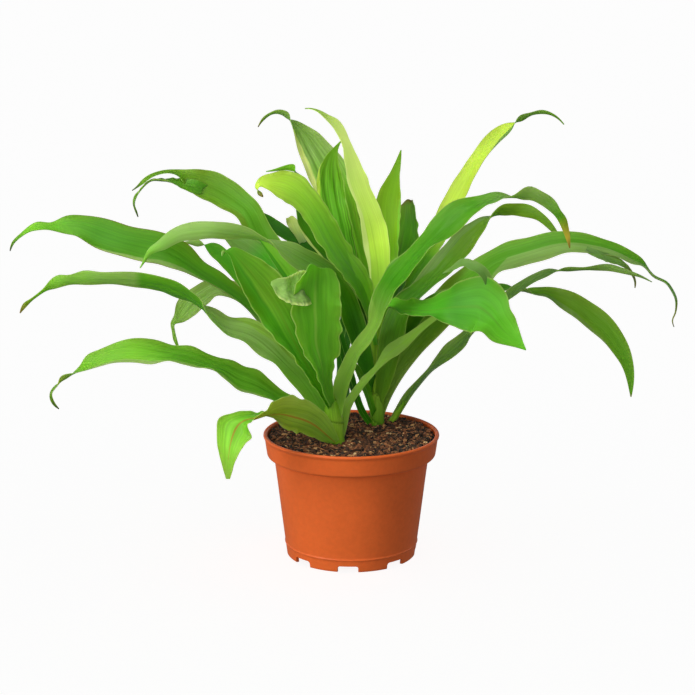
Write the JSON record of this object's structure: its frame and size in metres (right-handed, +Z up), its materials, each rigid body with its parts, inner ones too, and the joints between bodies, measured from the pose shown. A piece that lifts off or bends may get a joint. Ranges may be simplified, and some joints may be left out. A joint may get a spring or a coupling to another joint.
{
  "type": "potted dracaena",
  "caption": "Free-standing dracaena house plant with long arching strap leaves and short stems in a round tapered nursery pot of potting mix.",
  "frame": {"origin": "on the floor under the middle of the plant, on the pot's vertical axis", "axes": "+Z up, +X to the right in the picture, -Y towards the picture's camera"},
  "size_m": [0.5674, 0.2325, 0.3858],
  "materials": {
    "leaf_bright": "satin living leaf",
    "leaf_dark": "satin living leaf",
    "leaf_deep": "satin living leaf",
    "leaf_green": "satin living leaf",
    "leaf_grey": "satin living leaf",
    "leaf_lime": "satin living leaf",
    "leaf_olive": "satin living leaf",
    "leaf_red": "satin living leaf",
    "leaf_striped": "satin living leaf",
    "potting_mix": "loose bark and peat",
    "stem_green": "smooth living stem",
    "terracotta_plastic": "satin moulded plastic"
  },
  "bodies": {
    "root": {"pot": "terracotta_plastic", "soil": "potting_mix", "front_stem": "stem_green", "rear_stem": "stem_green", "leaf_far_left_upper": "leaf_dark", "leaf_far_left_middle": "leaf_green", "leaf_left_lower": "leaf_bright", "leaf_red_midrib": "leaf_red", "leaf_left_curling": "leaf_olive", "leaf_left_grey_back": "leaf_dark", "leaf_left_forked": "leaf_green", "leaf_top_left_pleated": "leaf_green", "leaf_top_lime": "leaf_lime", "leaf_top_striped": "leaf_striped", "leaf_top_arching": "leaf_green", "leaf_top_left_dark": "leaf_dark", "leaf_back_left_deep": "leaf_deep", "leaf_back_upright": "leaf_green", "leaf_back_dry_top": "leaf_dark", "leaf_centre_left_bright": "leaf_bright", "leaf_right_lime": "leaf_lime", "leaf_right_long_dark": "leaf_dark", "leaf_right_olive": "leaf_olive", "leaf_far_right": "leaf_dark", "leaf_front_right": "leaf_bright", "leaf_right_drooping": "leaf_olive", "leaf_right_slender": "leaf_grey", "leaf_front_thin_olive": "leaf_olive", "leaf_front_crumpled": "leaf_bright", "leaf_front_broad": "leaf_green", "leaf_left_narrow": "leaf_bright", "leaf_left_grey": "leaf_grey", "leaf_small_left": "leaf_deep", "leaf_small_short": "leaf_deep", "leaf_small_upright": "leaf_deep"}
  },
  "joints": []
}
